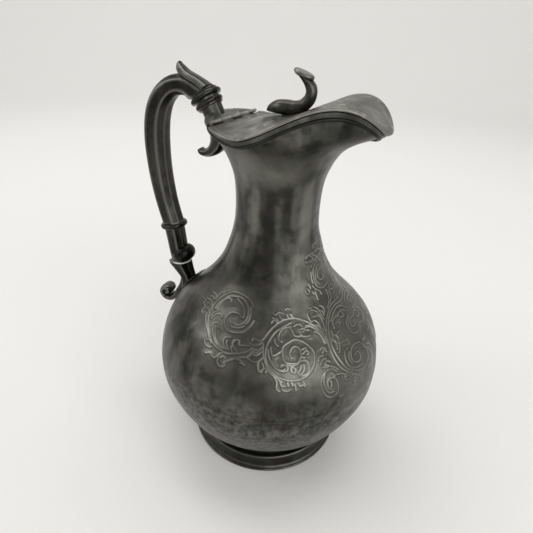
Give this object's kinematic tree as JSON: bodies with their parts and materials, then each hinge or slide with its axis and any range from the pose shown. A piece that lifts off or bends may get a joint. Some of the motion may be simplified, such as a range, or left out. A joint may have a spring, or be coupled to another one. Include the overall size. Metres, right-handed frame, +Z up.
{
  "type": "claret jug",
  "caption": "Pear-shaped silver-plated serving jug with a spread foot, saddle-shaped spouted mouth, hinged lid with a scroll finial, and an insulated scroll handle.",
  "frame": {"origin": "centre of the foot's underside, on the plane that the jug stands on", "axes": "+Z up along the axis of the turned body, +X towards the spout, -X towards the handle, +Y completes the right-handed frame"},
  "size_m": [0.1609, 0.144, 0.239],
  "materials": {
    "vessel_plate": "worn",
    "lid_plate": "worn",
    "foot_plate": "worn",
    "handle_plate": "worn",
    "hinge_metal": "satin",
    "insulator": "satin"
  },
  "bodies": {
    "jug": {"lower_bowl": "vessel_plate", "upper_body": "vessel_plate", "foot_ring": "foot_plate", "foot_wire": "foot_plate", "rim_moulding": "vessel_plate", "rear_cover": "vessel_plate", "rear_knuckles": "hinge_metal", "hinge_pin": "hinge_metal", "upper_insulator": "insulator", "lower_insulator": "insulator", "insulator_pins": "hinge_metal", "grip_collar": "handle_plate", "mount_collar": "handle_plate", "upper_mount": "handle_plate", "thumb_rest": "handle_plate", "handle_grip": "handle_plate", "bead_ring": "handle_plate", "lower_ferrule": "handle_plate", "knuckle": "handle_plate", "lower_mount": "handle_plate", "shoulder_leaf": "handle_plate"},
    "lid": {"lid_leaf": "lid_plate", "lid_knuckles": "hinge_metal", "finial": "handle_plate", "finial_button": "handle_plate", "finial_stud": "hinge_metal", "finial_nut": "hinge_metal"}
  },
  "joints": [
    {"name": "lid_hinge", "type": "hinge", "parent": "jug", "child": "lid", "pos_m": [-0.028, 0, 0.21281], "axis": [0, -1, 0], "range_deg": [0, 95]}
  ]
}
